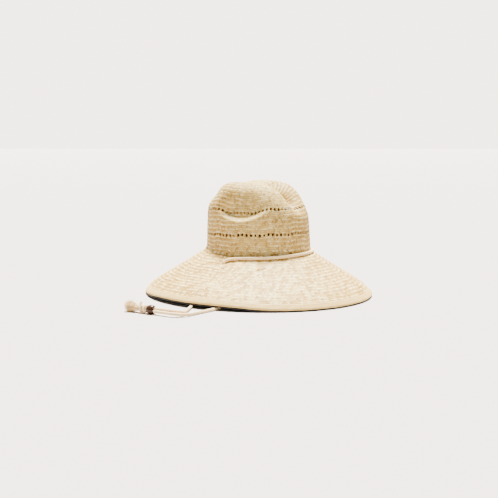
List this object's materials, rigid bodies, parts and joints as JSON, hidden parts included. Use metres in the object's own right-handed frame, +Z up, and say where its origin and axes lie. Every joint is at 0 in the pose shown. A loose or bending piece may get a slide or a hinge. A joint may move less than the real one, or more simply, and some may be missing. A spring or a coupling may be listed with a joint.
{
  "type": "straw sun hat",
  "caption": "Wide-brimmed woven straw sun hat with vented, creased crown, taped edge, and a cotton chin cord with knot, tassel and sliding wooden bead.",
  "frame": {"origin": "on the floor under the middle of the hat, measured without the free cord and what is on it", "axes": "+Z up; -Y towards the hat's front, with the crown's crease along Y; -X towards the wearer's right"},
  "size_m": [0.4983, 0.4387, 0.2122],
  "materials": {
    "straw": "woven straw, matt with a faint sheen",
    "straw_tape": "fine ribbed tape",
    "black_fabric": "plain weave",
    "spring_wire": "drawn",
    "joiner_brass": "satin",
    "band_cotton": "twill",
    "cord_cotton": "braided cotton",
    "bead_wood": "polished dark wood"
  },
  "bodies": {
    "hat": {"woven_body": "straw", "edge_binding": "straw_tape", "edge_piping": "black_fabric", "underbrim_lining": "black_fabric", "edge_wire": "spring_wire", "wire_joiner": "joiner_brass", "sweatband": "band_cotton", "cord_band": "cord_cotton", "cord_right": "cord_cotton", "cord_left": "cord_cotton", "cord_knot": "cord_cotton", "cord_tassel": "cord_cotton"},
    "bead": {"chin_bead": "bead_wood"}
  },
  "joints": [
    {"name": "bead_slide", "type": "slide", "parent": "hat", "child": "bead", "axis": [0, -1, 0], "range_m": [0, 0.024]}
  ]
}
